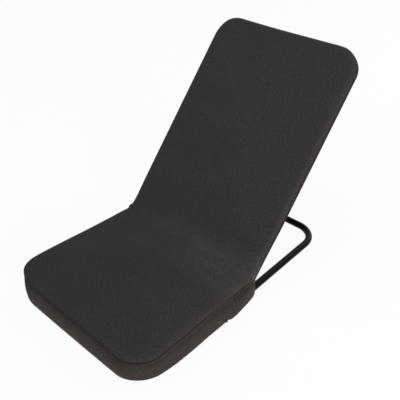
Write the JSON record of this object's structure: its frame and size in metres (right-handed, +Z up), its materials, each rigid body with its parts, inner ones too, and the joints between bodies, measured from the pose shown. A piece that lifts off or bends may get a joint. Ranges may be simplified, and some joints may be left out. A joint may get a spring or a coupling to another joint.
{
  "type": "folding floor chair",
  "caption": "Low folding floor chair with a padded seat, a reclined padded back that folds forward on to it, and a tube loop on the floor behind.",
  "frame": {"origin": "on the floor under the middle of the chair's overall length and width", "axes": "+Z up, +Y from the front of the seat to the rear, X across the chair"},
  "size_m": [0.4586, 0.8028, 0.5192],
  "materials": {
    "frame_black": "satin powder coat",
    "fastener_steel": "zinc plated",
    "nylon": "matt",
    "foam": "open-cell foam",
    "cover_cloth": "charcoal cotton duck",
    "zip_cloth": "woven tape",
    "zip_plastic": "matt",
    "zip_metal": "black enamel"
  },
  "bodies": {
    "base": {"front_frame_tube": "frame_black", "rear_floor_tube": "frame_black", "base_cross_tube": "frame_black", "hinge_base_plate_left": "frame_black", "hinge_base_plate_right": "frame_black", "stop_pins": "fastener_steel", "pivot_bolts": "fastener_steel", "pivot_nuts": "fastener_steel", "pivot_washers": "nylon", "tube_joint_screws": "fastener_steel", "seat_foam": "foam", "seat_cover": "cover_cloth"},
    "back": {"back_frame_tube": "frame_black", "back_cross_bar": "frame_black", "hinge_back_plate_left": "frame_black", "hinge_back_plate_right": "frame_black", "pivot_bushings": "nylon", "back_foam": "foam", "back_cover": "cover_cloth", "zip_tape": "zip_cloth", "zip_teeth": "zip_plastic", "zip_end_stops": "zip_metal"},
    "zip_slider": {"zip_slider": "zip_metal"},
    "zip_pull": {"zip_pull": "zip_metal"}
  },
  "joints": [
    {"name": "back_fold", "type": "hinge", "parent": "base", "child": "back", "pos_m": [0, -0.00912, 0.064], "axis": [1, 0, 0], "range_deg": [0, 123]},
    {"name": "zip_slide", "type": "slide", "parent": "back", "child": "zip_slider", "axis": [1, 0, 0], "range_m": [-0.349, 0]},
    {"name": "pull_swing", "type": "hinge", "parent": "zip_slider", "child": "zip_pull", "pos_m": [0.1745, 0.09835, 0.14404], "axis": [1, 0, 0], "range_deg": [-38, 136]}
  ]
}
